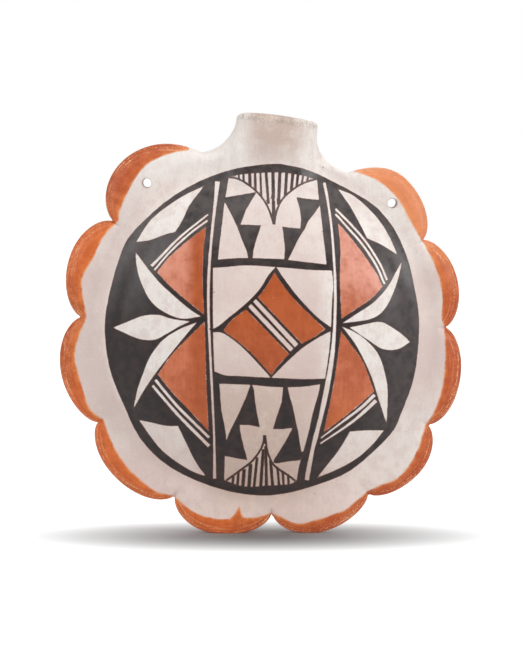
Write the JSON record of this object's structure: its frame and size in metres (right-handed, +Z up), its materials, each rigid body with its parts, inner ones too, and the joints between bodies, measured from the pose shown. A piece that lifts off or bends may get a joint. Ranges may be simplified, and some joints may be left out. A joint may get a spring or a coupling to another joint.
{
  "type": "pottery canteen",
  "caption": "Flat round fired-clay water canteen with a scalloped flange rim, cord holes in the upper lobes and a short open neck.",
  "frame": {"origin": "middle of the footprint on the ground, under the canteen as it stands on its two lowest lobes", "axes": "+Z up, -Y the painted front, +X to the right seen from the front"},
  "size_m": [0.171, 0.054, 0.179],
  "materials": {
    "front_slip": "matt cream slip with a painted pattern in black and orange",
    "back_clay": "matt smoothed clay",
    "rim_paint": "matt orange paint over cream slip",
    "neck_slip": "matt cream slip"
  },
  "bodies": {
    "root": {"front_shell": "front_slip", "back_shell": "back_clay", "scalloped_rim": "rim_paint", "neck": "neck_slip"}
  },
  "joints": []
}
